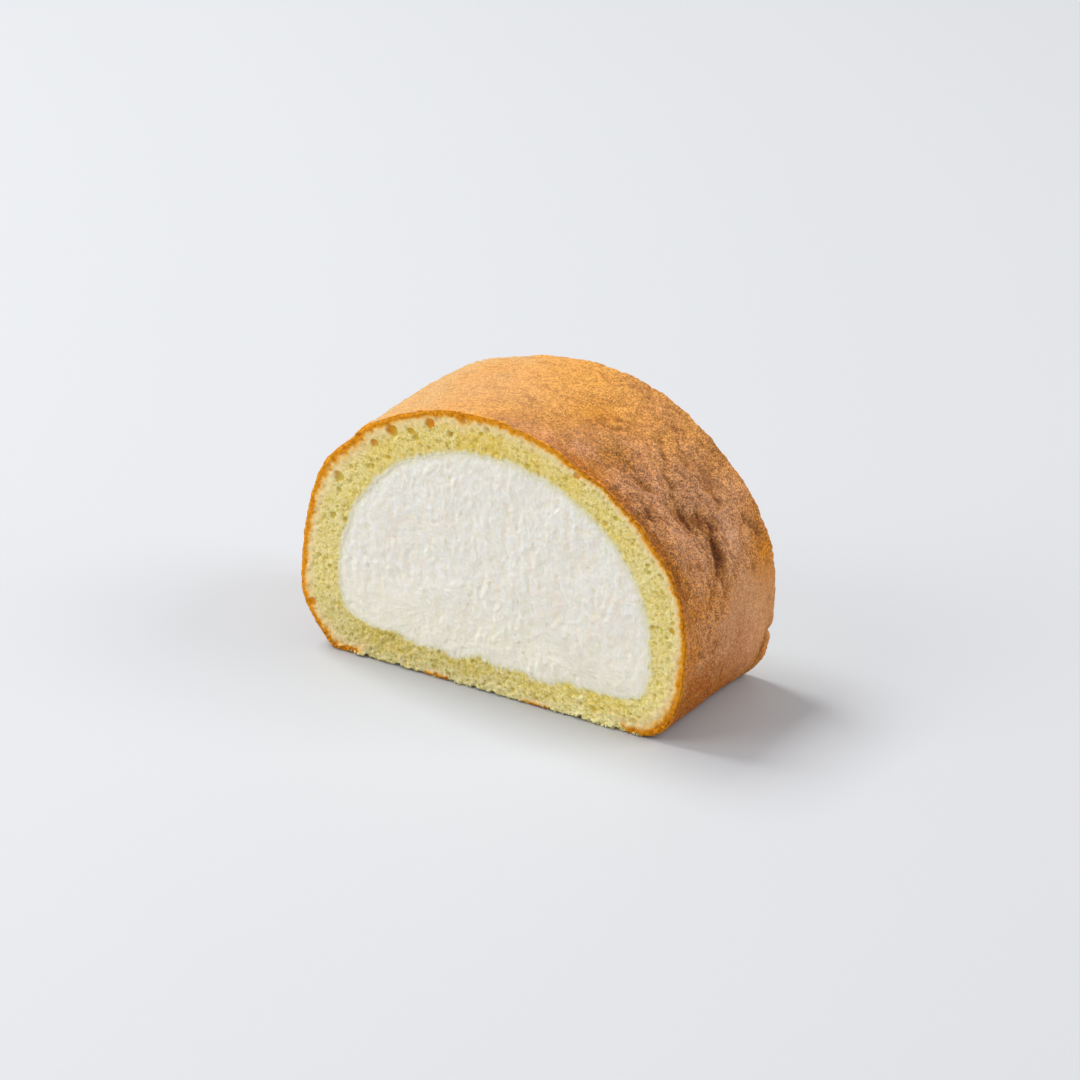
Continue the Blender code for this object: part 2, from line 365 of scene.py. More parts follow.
def skin_cover(around, back, x):
    """How well the browned skin covers a place: whole above the foot, in patches underneath."""
    flat_from, flat_to = SKIN_SPAN
    if around <= flat_from:
        return 1.0
    patch = noise.noise(Vector((around, back, 0.0)) / (5.5 * MM) + Vector((3.0, 9.0, 1.0)))
    patch += 0.5 * noise.noise(Vector((around, back, 4.0)) / (1.8 * MM))
    edge = min(around - flat_from, flat_to - around)
    patch += 1.2 * smooth(2.5 * MM, 0.0, edge)
    for left, right in ((-15.8 * MM, -10.5 * MM), (7.6 * MM, 13.9 * MM)):
        near_front = smooth(5 * MM, 2 * MM, back)
        inside = smooth(left - 0.8 * MM, left, x) * smooth(right + 0.8 * MM, right, x)
        patch += near_front * (1.1 * inside - 0.25)
    return smooth(0.12, 0.32, patch)


def pressed_flat(around, back):
    """How far a place lies in the patch low on the right that was pressed smooth: 0 or 1 but for its edge."""
    border = 16.6 * MM + 5.3 * MM * math.exp(-max(0.0, around - 153.6 * MM) / (1.7 * MM))
    border += 1.4 * MM * noise.noise(Vector((around / (3.5 * MM), 0.0, 0.0)))
    top = around + 4.0 * MM * noise.noise(Vector((back / (4.0 * MM), 3.0, 0.0)))
    ends = smooth(151.0 * MM, 157.0 * MM, top) * smooth(185 * MM, 165 * MM, around)
    soft = 0.6 * MM + 0.12 * max(0.0, around - 158 * MM)
    return ends * smooth(-soft, soft, back - border)


def skin_relief(around, back, point):
    """How far the skin stands out of its plain section, and how far that is below its surroundings."""
    broad = sum(form[5] * dent(form, around, back) for form in SKIN_FORMS)
    place = Vector((around, back, 0.0))
    wavy = place + 0.7 * MM * noise.noise_vector(place / (2.4 * MM)) + 0.4 * MM * noise.noise_vector(place / MM)
    crease = sum(form[5] * dent(form, wavy.x, wavy.y) for form in CREASES)
    rough = smooth(92 * MM, 122 * MM, around) * smooth(172 * MM, 150 * MM, around)
    rough *= 1.0 - 0.8 * pressed_flat(around, back)
    swell = noise.noise(place / (7.5 * MM)) * (0.16 + 0.22 * rough) * MM
    strewn = 0.45 + 0.55 * rough
    stretched = Vector((around, back * 2.3, 0.0)) + 2.5 * MM * noise.noise_vector(place / (6 * MM))
    fold = noise.ridged_multi_fractal(stretched / (6.2 * MM), 1.0, 2.1, 3, 0.9, 1.6)
    calm = (0.4 + 0.6 * smooth(0.0, 4 * MM, back)) * (1.0 - 0.5 * smooth(30 * MM, 35 * MM, back))
    fold = (fold - 0.7) * (0.16 + 0.46 * rough) * calm * MM
    wrinkle = noise.noise(stretched / (2.4 * MM) + Vector((5.0, 0.0, 0.0))) * 0.30 * strewn * MM
    line = abs(noise.noise(Vector((around / 5.5, wavy.y / 1.35, 0.0)) / MM + Vector((0.0, 0.0, 7.0))))
    line = smooth(0.10, 0.0, line) * smooth(-0.05, 0.25, noise.noise(place / (5 * MM) + Vector((0.0, 9.0, 0.0))))
    wrinkle -= line * (0.17 + 0.15 * rough) * calm * MM
    pimple = noise.fractal(place / (0.9 * MM), 0.6, 2.0, 2) * (0.09 + 0.05 * strewn) * MM
    pock = pore(place + Vector((0.0, 0.0, 3.0 * MM)), 1.6 * MM, -0.2, 0.42) * 0.25 * strewn * MM
    fine = crease + 0.6 * swell - fold + wrinkle + 0.6 * pimple - pock
    return broad + 0.6 * crease + swell - fold + wrinkle + pimple - pock, -fine / MM


def pore(place, size, low, high):
    """How deep a place lies in a pore, as a share of the pore's size. Each cell's pore has its own size."""
    distances, points = noise.voronoi(place / size)
    radius = low + (high - low) * noise.cell(points[0] * 7.3 + Vector((0.5, 0.5, 0.5)))
    return max(0.0, 1.0 - distances[0] / radius) if radius > 0 else 0.0


def crumb_relief(x, z, side, depth):
    """Height of the crumb's cut face, and how much of that is pore: 0 on the face, 1 deep inside."""
    place = Vector((x, side * 40 * MM, z))
    low = smooth(SPONGE_BASE + 1.0 * MM, SPONGE_BASE - 1.0 * MM, z)
    rough = noise.fractal(place / (1.25 * MM), 0.6, 2.1, 3) * (0.17 + 0.10 * low) * MM
    small = pore(place, 0.95 * MM, 0.05, 0.66)
    large = pore(place + Vector((3.1 * MM, 0.0, 1.7 * MM)), 2.7 * MM, -0.25, 0.34)
    height = rough - 0.42 * MM * math.sqrt(small) - 0.80 * MM * math.sqrt(large)
    hollow = max(0.7 * math.sqrt(small), 0.95 * math.sqrt(large))
    warm = 0.0
    for centre_x, centre_z, radius, cut in BUBBLES:
        if cut != side or abs(x - centre_x) > 2 * radius or abs(z - centre_z) > 2 * radius:
            continue
        edge = noise.noise(place / (0.9 * MM)) * 0.45 + 1.0
        away = math.hypot((x - centre_x) / 1.12, z - centre_z) / (radius * edge)
        if away < 1.0:
            cup = math.sqrt(1.0 - away * away)
            height = min(height, -0.55 * radius * cup)
            hollow = max(hollow, cup)
            browned = smooth(5.5 * MM, 3.0 * MM, depth) * smooth(0.55 * MM, 0.95 * MM, radius)
            browned *= smooth(5.0 * MM, 8.0 * MM, z)
            warm = max(warm, smooth(0.1, 0.6, cup) * browned)
    return height, hollow, warm, rough / (0.2 * MM)


def cream_relief(x, z, side, inside):
    """Height of the cream's cut face: streaks dragged down by the knife, torn spots and pits."""
    place = Vector((x, side * 55 * MM, z))
    bent = x + 1.6 * MM * noise.noise(place / (7 * MM)) + 0.5 * MM * noise.noise(place / (2 * MM))
    streak = noise.noise(Vector((bent / (1.5 * MM), side * 3.0, z / (6 * MM))))
    streak += 0.6 * noise.noise(Vector((bent / (0.75 * MM), side * 7.0, z / (2.6 * MM))))
    broken = 0.5 + 0.5 * noise.noise(place / (3.5 * MM) + Vector((2.0, 0.0, 0.0)))
    curd = noise.fractal(place / (1.5 * MM), 0.6, 2.2, 4)
    swell = noise.noise(place / (8 * MM) + Vector((0.0, 5.0, 0.0)))
    pit = pore(place + Vector((0.0, 0.0, 9.0 * MM)), 2.0 * MM, -0.15, 0.42)
    height = 0.24 * MM * streak * broken + 0.15 * MM * curd + 0.25 * MM * swell
    height -= 0.30 * MM * math.sqrt(pit)
    return height, math.sqrt(pit)


# ---------------------------------------------------------------- meshes


def finished(name, mesh, finish, node=None):
    """An object of this mesh with its material, riding on the slice."""
    bmesh.ops.remove_doubles(mesh, verts=mesh.verts[:], dist=SEAM)
    bmesh.ops.recalc_face_normals(mesh, faces=mesh.faces[:])
    old = bpy.data.objects.get(name)
    if old:
        bpy.data.objects.remove(old, do_unlink=True)
    data = bpy.data.meshes.new(name)
    mesh.to_mesh(data)
    mesh.free()
    data.shade_smooth()
    data.materials.append(finish)
    made = bpy.data.objects.new(name, data)
    bpy.context.scene.collection.objects.link(made)
    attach(made, BODY)
    if node:
        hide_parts(node)
    return made


def wrapped_shell(around, rows, place, layers):
    """A closed shell: a grid wrapped round in both directions. place() gives each point and its layers."""
    mesh = bmesh.new()
    stores = [mesh.verts.layers.float.new(layer) for layer in layers]
    bmesh.ops.create_grid(mesh, x_segments=around, y_segments=rows, size=0.5)
    for corner in mesh.verts:
        index = round((corner.co.x + 0.5) * around) % around
        row = round((corner.co.y + 0.5) * rows) % rows
        corner.co, values = place(index, row)
        for store, value in zip(stores, values):
            corner[store] = value
    return mesh


SKIN_SPAN_END = sum((b - a).length for a, b in zip(SKIN_PATH[:-2], SKIN_PATH[1:-1]))
SKIN_ROUND = SKIN_SPAN_END + (SKIN_PATH[-1] - SKIN_PATH[-2]).length
SKIN_SPAN = (SKIN_SPAN_END, SKIN_ROUND)
SKIN_EDGE = 0.50 * MM  # how far the skin's rim curls over the cut edge
SKIN_THICK = 0.8 * MM
UNDER_LIFT = 0.08 * MM
SKIN_LAYERS = ("around", "back", "cover", "hollow", "pressed", "dark", "lighter", "redder")


def rim_here(around):
    """How thick the browned rim is on the cuts at this place around the skin, and how dark."""
    shares = [math.exp(-(((around - form[0]) / form[1]) ** 2)) for form in RIM_FORMS]
    thick = RIM_LEAST + sum(form[2] * share for form, share in zip(RIM_FORMS, shares))
    return thick, min(1.0, 0.3 + sum(form[3] * share for form, share in zip(RIM_FORMS, shares)))


def skin_surface(places, index, back):
    """A place on the skin's outside, its direction out, and its cover and hollow."""
    point, around = places[index]
    out = outward(places, index)
    cover = skin_cover(around, back, point.x)
    rise, hollow = skin_relief(around, back, point)
    height = smooth(0.0, FOOT, point.y)
    if around > SKIN_SPAN[0]:
        near_cut = smooth(3.0 * MM, 0.5 * MM, min(back, LENGTH - back))
        gap = max(0.0, noise.fractal(Vector((point.x, back, 0.0)) / (2.6 * MM), 0.6, 2.1, 3) - 0.05)
        torn = -crumb_relief(point.x, back, 2, 0.0)[0]
        bare = UNDER_LIFT + 0.3 * torn + 0.9 * MM * near_cut * gap
        lift = 0.03 * MM + (bare - 0.03 * MM) * smooth(0.7, 0.3, cover)
        join = math.exp(-(((point.x - JOIN_X) / (0.5 * MM)) ** 2))
        return Vector((point.x, max(0.0, lift) + 0.8 * MM * join)), out, cover, hollow
    spread_out = sum(form[5] * dent(form, around, back) for form in CORNER_FORMS)
    near_cut = smooth(1.4 * MM, 0.3 * MM, min(back, LENGTH - back))
    burr = noise.noise(Vector((around / (0.9 * MM), back / (0.8 * MM), 5.0))) * 0.16 * MM * near_cut
    raised = point + (height * (rise + burr) + (1 - height) * min(0.0, 0.3 * rise) + spread_out) * out
    return Vector((raised.x, max(0.0, raised.y))), out, cover, hollow


def browned_skin_mesh():
    """The skin as a thin closed shell whose rims curl over both cut edges."""
    places = evenly(SKIN_PATH, SKIN_AROUND)
    rows = SKIN_ROWS + HIDDEN_ROWS + 2 * CURL_ROWS

    def profile(row):
        """Distance back from the front cut, and depth under the skin's outside, along the shell's section."""
        if row <= SKIN_ROWS:
            return SKIN_EDGE + (LENGTH - 2 * SKIN_EDGE) * row / SKIN_ROWS, 0.0
        if row <= SKIN_ROWS + CURL_ROWS:
            turn = math.pi / 2 * (row - SKIN_ROWS) / CURL_ROWS
            return LENGTH - SKIN_EDGE * (1 - math.sin(turn)), SKIN_EDGE * (1 - math.cos(turn))
        if row <= SKIN_ROWS + CURL_ROWS + HIDDEN_ROWS:
            share = (row - SKIN_ROWS - CURL_ROWS) / HIDDEN_ROWS
            return LENGTH * (0.985 - 0.97 * share), SKIN_THICK
        turn = math.pi / 2 * (rows - row) / CURL_ROWS
        return SKIN_EDGE * (1 - math.sin(turn)), SKIN_EDGE * (1 - math.cos(turn))

    def place(index, row):
        back, sunk = profile(row)
        surface, out, cover, hollow = skin_surface(places, index, back)
        around = places[index][1]
        edge = min(back, LENGTH - back)
        ragged = 0.24 * MM * noise.noise(Vector((around / (1.1 * MM), row // SKIN_ROWS, 0.0)))
        back += ragged * smooth(1.2 * MM, 0.0, edge)
        point = surface - sunk * out
        shares = [dent(form, around, back) for form in SKIN_TONES]
        lighter = sum(form[5] * share for form, share in zip(SKIN_TONES, shares))
        redder = sum(form[6] * share for form, share in zip(SKIN_TONES, shares))
        layers = (around / MM, back / MM, cover, hollow, pressed_flat(around, back), rim_here(around)[1])
        return (point.x, FRONT + back, point.y), (*layers, lighter, redder)

    return wrapped_shell(SKIN_AROUND, rows, place, SKIN_LAYERS)


CRUMB_TUCK = 0.35 * MM  # the crumb's cut faces stop this far short of the skin's outside
CRUMB_SUNK = 1.1 * MM  # and between the cuts its outer wall lies this deep
CREAM_WALL_ROWS = 2
CRUMB_LAYERS = ("depth", "rim", "hollow", "warm", "cover", "join", "shore", "rise", "dark")
CREAM_OVERLAP = 0.5 * MM


def sponge_crumb_mesh():
    """The crumb as a closed ring: two cut faces, the wall round the cream and the wall under the skin."""
    places = evenly(SKIN_PATH, CRUMB_AROUND)
    rows = 2 * CRUMB_RADIAL + CREAM_WALL_ROWS + HIDDEN_ROWS
    spokes = {}
    for side, back in ((-1, 0.0), (1, LENGTH)):
        for index, (point, around) in enumerate(places):
            surface, out, cover, _ = skin_surface(places, index, back)
            angle = Outline.angle_of(surface)
            inner = CREAM_OUTLINE.at(angle, side)
            direction = Vector((math.cos(angle), math.sin(angle)))
            spokes[side, index] = (surface - CRUMB_TUCK * out, surface, out, inner, direction, cover, *rim_here(around))

    def face_point(index, side, share):
        start, surface, out, inner, direction, cover, rim, dark = spokes[side, index]
        end = CENTRE + (inner - CREAM_OVERLAP) * direction
        point = start.lerp(end, share)
        depth = (surface - point).dot(out)
        height, hollow, warm, rise = crumb_relief(point.x, point.y, side, depth)
        past = inner - (point - CENTRE).length
        height *= 0.45 + 0.55 * smooth(0.2 * MM, 1.3 * MM, -past)
        height -= 0.45 * max(0.0, past)
        height *= smooth(0.0, 0.9 * MM, depth) * 0.75 + 0.25
        clump = noise.fractal(Vector((point.x, side * 9.0, 1.4 * point.y)) / (1.9 * MM), 0.6, 2.1, 2)
        height += 0.6 * MM * max(0.0, clump + 0.1) * smooth(2.4 * MM, 0.4 * MM, point.y) * (1.0 - 0.7 * cover)
        join = math.exp(-(((point.x - JOIN_X - 0.25 * MM * noise.noise(Vector((0, 0, point.y / (1.5 * MM))))) / (0.75 * MM)) ** 2))
        join *= smooth(SPONGE_BASE + 1.5 * MM, SPONGE_BASE, point.y)
        cut = FRONT if side < 0 else FRONT + LENGTH
        return (point.x, cut + side * height, point.y), (depth / MM, depth / rim, hollow, warm, cover, join, -past / MM, rise, dark)

    def under_skin(index, share):
        """A place on the wall that lies hidden under the skin, from the back cut to the front one."""
        back = LENGTH * (1.0 - share)
        surface, out, cover, _ = skin_surface(places, index, back)
        point = surface - min(CRUMB_SUNK, 2.0 * min(back, LENGTH - back) + CRUMB_TUCK) * out
        return (point.x, FRONT + back, point.y), (CRUMB_SUNK / MM, 1.0, 0.0, 0.0, cover, 0.0, 9.0, 0.0, 0.5)

    def place(index, row):
        if row <= CRUMB_RADIAL:
            return face_point(index, -1, row / CRUMB_RADIAL)
        row -= CRUMB_RADIAL
        if row < CREAM_WALL_ROWS:
            return between(face_point(index, -1, 1.0), face_point(index, 1, 1.0), row / CREAM_WALL_ROWS)
        row -= CREAM_WALL_ROWS
        if row <= CRUMB_RADIAL:
            return face_point(index, 1, 1.0 - row / CRUMB_RADIAL)
        return under_skin(index, (row - CRUMB_RADIAL) / HIDDEN_ROWS)

    return wrapped_shell(CRUMB_AROUND, rows, place, CRUMB_LAYERS)


def between(first, second, share):
    """A place and its layers at this share of the way from one to another."""
    point = Vector(first[0]).lerp(Vector(second[0]), share)
    return point, [a + (b - a) * share for a, b in zip(first[1], second[1])]


def whipped_cream_mesh():
    """The cream core: a square grid pressed out to the outline on each cut, bridged through the slice."""
    mesh = bmesh.new()
    pit_layer = mesh.verts.layers.float.new("pit")
    rise_layer = mesh.verts.layers.float.new("rise")
    shore_layer = mesh.verts.layers.float.new("shore")
    for side in (-1, 1):
        grid = bmesh.ops.create_grid(mesh, x_segments=CREAM_ACROSS, y_segments=CREAM_ACROSS, size=1.0)
        for corner in grid["verts"]:
            ring = max(abs(corner.co.x), abs(corner.co.y))
            angle = math.atan2(corner.co.y * 0.8, corner.co.x)
            shore = CREAM_OUTLINE.at(angle, side)
            distance = ring * (shore + CREAM_OVERLAP)
            x = CENTRE.x + distance * math.cos(angle)
            z = CENTRE.y + distance * math.sin(angle)
            inside = shore - distance
            height, pit = cream_relief(x, z, side, inside)
            sunk = smooth(1.9, 2.3, angle % math.tau) * smooth(3.6, 3.2, angle % math.tau)
            height *= 0.5 + 0.5 * smooth(0.2 * MM, 1.6 * MM, inside)
            height -= (0.02 + 0.08 * sunk) * MM * smooth(1.8 * MM, 0.0, inside)
            height -= 0.45 * max(0.0, -inside)
            cut = FRONT if side < 0 else FRONT + LENGTH
            corner.co = (x, cut + side * height, z)
            corner[pit_layer] = pit
            corner[rise_layer] = height / MM
            corner[shore_layer] = inside / MM
    rims = [edge for edge in mesh.edges if edge.is_boundary]
    bmesh.ops.bridge_loops(mesh, edges=rims)
    return mesh


def loose_crumbs_mesh(count, seed):
    """Small crumbs that cling to the foot of both cuts and along the bottom corners."""
    draw = random.Random(seed)
    mesh = bmesh.new()
    depth_layer = mesh.verts.layers.float.new("depth")
    shore_layer = mesh.verts.layers.float.new("shore")
    for _ in range(count):
        size = draw.uniform(0.16, 0.36) * MM
        x = draw.uniform(-35.0, 37.0) * MM
        side = -1 if draw.random() < 0.65 else 1
        cut = FRONT if side < 0 else FRONT + LENGTH
        middle = Vector((x, cut + side * draw.uniform(-0.4, 0.1) * MM, size * draw.uniform(0.7, 2.2)))
        made = bmesh.ops.create_icosphere(mesh, subdivisions=2, radius=1.0)["verts"]
        for corner in made:
            bump = 1.0 + 0.9 * noise.noise(corner.co * 1.7 + middle / MM)
            corner.co = middle + corner.co * size * bump
            corner.co.z = max(0.0, corner.co.z)
            corner[depth_layer] = 6.0
            corner[shore_layer] = 9.0
    return mesh


# ---------------------------------------------------------------- materials


def add(tree, kind, inputs=None, **settings):
    """A new node of this kind, with its settings and with values or links for its sockets."""
    made = tree.nodes.new(kind)
    for name, value in settings.items():
        setattr(made, name, value)
    for name, value in (inputs or {}).items():
        if isinstance(value, bpy.types.NodeSocket):
            tree.links.new(value, made.inputs[name])
        else:
            made.inputs[name].default_value = value
    return made


def new_finish(name, roughness, specular, subsurface, scatter, sheen=0.0):
    """A material with its Principled BSDF, the place on the object, and its node tree."""
    old = bpy.data.materials.get(name)
    if old:
        bpy.data.materials.remove(old)
    made = bpy.data.materials.new(name)
    made.use_nodes = True
    tree = made.node_tree
    shader = tree.nodes["Principled BSDF"]
    shader.inputs["Roughness"].default_value = roughness
    shader.inputs["Specular IOR Level"].default_value = specular
    shader.inputs["Subsurface Weight"].default_value = subsurface
    shader.inputs["Subsurface Scale"].default_value = scatter
    shader.inputs["Subsurface Radius"].default_value = (1.0, 0.62, 0.35)
    shader.inputs["Sheen Weight"].default_value = sheen
    place = add(tree, "ShaderNodeTexCoord").outputs["Object"]
    return made, tree, shader, place


def grain(tree, place, size, detail=2.0, roughness=0.5, distortion=0.0):
    """Cloudy noise with features of this size, from 0 to 1."""
    made = add(tree, "ShaderNodeTexNoise", {
        "Vector": place, "Scale": 1.0 / size, "Detail": detail,
        "Roughness": roughness, "Distortion": distortion,
    })
    return made.outputs["Fac"]


def spread(tree, value, low, high, to_low=0.0, to_high=1.0):
    """The value stretched from one range to another, and held inside it."""
    made = add(tree, "ShaderNodeMapRange", {
        "Value": value, "From Min": low, "From Max": high, "To Min": to_low, "To Max": to_high,
    }, interpolation_type="SMOOTHSTEP")
    return made.outputs["Result"]


def layer(tree, name):
    """One of the numbers that the mesh carries at each point."""
    return add(tree, "ShaderNodeAttribute", attribute_name=name).outputs["Fac"]


def sums(tree, operation, first, second):
    made = add(tree, "ShaderNodeMath", {0: first, 1: second}, operation=operation)
    return made.outputs["Value"]


def blend(tree, share, first, second, how="MIX"):
    """Two colours mixed by a share."""
    made = add(tree, "ShaderNodeMix", data_type="RGBA", blend_type=how)
    for socket, value in ((made.inputs["Factor"], share), (made.inputs[6], first), (made.inputs[7], second)):
        if isinstance(value, bpy.types.NodeSocket):
            tree.links.new(value, socket)
        elif socket.type == "RGBA":
            socket.default_value = (*value[:3], 1.0)
        else:
            socket.default_value = value
    return made.outputs[2]


def raise_by(tree, height, distance, strength=1.0, under=None):
    """A bump of this height, over another bump if one is given."""
    inputs = {"Height": height, "Distance": distance, "Strength": strength}
    if under:
        inputs["Normal"] = under
    return add(tree, "ShaderNodeBump", inputs).outputs["Normal"]


def pores_in(tree, place, size, reach):
    """Pores as spots from 0 to 1, each in its own cell."""
    cells = add(tree, "ShaderNodeTexVoronoi", {"Vector": place, "Scale": 1.0 / size, "Randomness": 1.0})
    return spread(tree, cells.outputs["Distance"], reach, 0.0)


def crumb_colour(tree, place, colours, depth, hollow, join, rise):
    """Yellow crumb: pale on its grains and just under the skin, olive with painted shade in its hollows, with a painted
    highlight on its bumps and painted bounce light low on the right.
    """
    fine = grain(tree, place, 0.42 * MM, 2.0, 0.6)
    speck = grain(tree, place, 0.85 * MM, 2.0, 0.55)
    broad = grain(tree, place, 5.0 * MM, 3.0, 0.55)
    base = colours.crumb
    axes = add(tree, "ShaderNodeSeparateXYZ", {"Vector": place}).outputs
    base = blend(tree, spread(tree, axes["Z"], 3 * MM, 6 * MM, 0.0, 0.3), base, colours.crumb_soaked)
    base = blend(tree, spread(tree, axes["Z"], 6 * MM, 12 * MM), base, colours.crumb)
    base = blend(tree, spread(tree, axes["Z"], 4.5 * MM, 1.0 * MM, 0.0, 0.6), base, colours.crumb_pale)
    high = sums(tree, "MULTIPLY", spread(tree, axes["Z"], 40 * MM, 50 * MM, 0.0, 0.42), spread(tree, axes["X"], 24 * MM, 12 * MM))
    base = blend(tree, high, base, colours.crumb_warm)
    base = blend(tree, spread(tree, broad, 0.40, 0.62, 0.0, 0.4), base, colours.crumb_pale)
    base = blend(tree, spread(tree, axes["X"], 26 * MM, 38 * MM, 0.0, 0.3), base, colours.crumb_pale)
    base = blend(tree, spread(tree, axes["X"], -28 * MM, -38 * MM, 0.0, 0.3), base, colours.crumb_pale)
    base = blend(tree, spread(tree, depth, 3.4, 1.0, 0.0, 0.35), base, colours.crumb_pale)
    base = blend(tree, spread(tree, join, 0.15, 0.9, 0.0, 0.7), base, colours.crumb_pale)
    # Painted highlight: the crumb is painted paler where its relief stands up
    base = blend(tree, spread(tree, rise, 0.2, 1.0, 0.0, 0.5), base, colours.crumb_pale)
    base = blend(tree, spread(tree, fine, 0.50, 0.66, 0.0, 0.75), base, colours.crumb_pale)
    base = blend(tree, spread(tree, fine, 0.48, 0.34, 0.0, 0.5), base, colours.crumb_olive_and_dip_shade)
    base = blend(tree, spread(tree, speck, 0.47, 0.34, 0.0, 0.85), base, colours.crumb_olive_and_dip_shade)
    # Painted shade: the crumb is painted darker where its relief dips
    base = blend(tree, spread(tree, rise, -0.2, -0.9, 0.0, 0.5), base, colours.crumb_olive_and_dip_shade)
    # Painted shade: the deeper a pore or bubble lies, the more of the darker pore colour it gets
    base = blend(tree, spread(tree, hollow, 0.1, 0.9, 0.0, 0.85), base, colours.crumb_pore_olive_and_shade)
    clusters = spread(tree, grain(tree, place, 3.0 * MM, 2.0, 0.5), 0.42, 0.60, 0.15, 0.9)
    olive = sums(tree, "MULTIPLY", pores_in(tree, place, 1.25 * MM, 0.30), clusters)
    # Olive pore spots where the mesh has no pores: olive tint with painted shade
    base = blend(tree, olive, base, colours.crumb_pore_olive_and_shade)
    # Painted shade: the smallest holes are dark spots in the colour only
    base = blend(tree, pores_in(tree, place, 1.9 * MM, 0.15), base, colours.pin_hole_shade)
    # Painted light: low on the cut face the crumb is painted lighter towards the right, for floor bounce, and darker
    # towards the left
    floor_bounce_across = spread(tree, axes["X"], -10 * MM, 26 * MM, -0.11, 0.09)
    lit = sums(tree, "MULTIPLY", spread(tree, axes["Z"], 16 * MM, 9 * MM), floor_bounce_across)
    base = add(tree, "ShaderNodeHueSaturation", {"Color": base, "Value": sums(tree, "ADD", lit, 1.02)})
    return base.outputs["Color"], fine


def crumb_finish(colours):
    """Dry, open crumb with the browned rim that the cut shows."""
    made, tree, shader, place = new_finish("sponge_crumb", 0.9, 0.1, 0.25, 0.7 * MM)
    depth, hollow, warm = layer(tree, "depth"), layer(tree, "hollow"), layer(tree, "warm")
    cover, join, shore = layer(tree, "cover"), layer(tree, "join"), layer(tree, "shore")
    colour, fine = crumb_colour(tree, place, colours, depth, hollow, join, layer(tree, "rise"))
    patches = spread(tree, grain(tree, place, 1.8 * MM, 3.0, 0.6), 0.42, 0.60, 0.1, 0.8)
    soaked = sums(tree, "MULTIPLY", spread(tree, shore, 2.2, 0.2), patches)
    colour = blend(tree, soaked, colour, colours.crumb_soaked)
    dragged = add(tree, "ShaderNodeMapping", {"Vector": place, "Scale": (1.0, 1.0, 0.4)}).outputs["Vector"]
    edge = add(tree, "ShaderNodeMath", {
        0: grain(tree, dragged, 1.0 * MM, 4.0, 0.7), 1: -2.6, 2: shore,
    }, operation="MULTIPLY_ADD").outputs["Value"]
    colour = blend(tree, spread(tree, edge, 0.1, -1.1, 0.0, 0.9), colour, colours.cream_yellow)
    colour = blend(tree, spread(tree, edge, -0.7, -1.5, 0.0, 0.85), colour, colours.cream_shade)
    edge = add(tree, "ShaderNodeMath", {
        0: grain(tree, place, 1.6 * MM, 5.0, 0.75), 1: 2.4, 2: layer(tree, "rim"),
    }, operation="MULTIPLY_ADD").outputs["Value"]
    colour = blend(tree, sums(tree, "MULTIPLY", spread(tree, edge, 4.1, 2.3, 0.0, 0.75), cover), colour, colours.rim_glow)
    colour = blend(tree, sums(tree, "MULTIPLY", spread(tree, edge, 2.9, 2.2, 0.0, 0.85), cover), colour, colours.rim_fringe)
    rim_patches = spread(tree, grain(tree, place, 0.8 * MM, 4.0, 0.75), 0.40, 0.60, 0.05, 1.0)
    rim_patches = sums(tree, "MULTIPLY", rim_patches, layer(tree, "dark"))
    rim_colour = blend(tree, rim_patches, colours.rim, colours.rim_dark)
    colour = blend(tree, sums(tree, "MULTIPLY", spread(tree, edge, 2.4, 1.9), cover), colour, rim_colour)
    golden = spread(tree, grain(tree, place, 3.4 * MM), 0.46, 0.60, 0.0, 0.8)
    stain = blend(tree, golden, colours.bubble, colours.crumb_pore_olive_and_shade)
    colour = blend(tree, sums(tree, "MULTIPLY", warm, 0.9), colour, stain)
    tree.links.new(colour, shader.inputs["Base Color"])
    bump = raise_by(tree, fine, 0.22 * MM, 1.0)
    tree.links.new(bump, shader.inputs["Normal"])
    return made


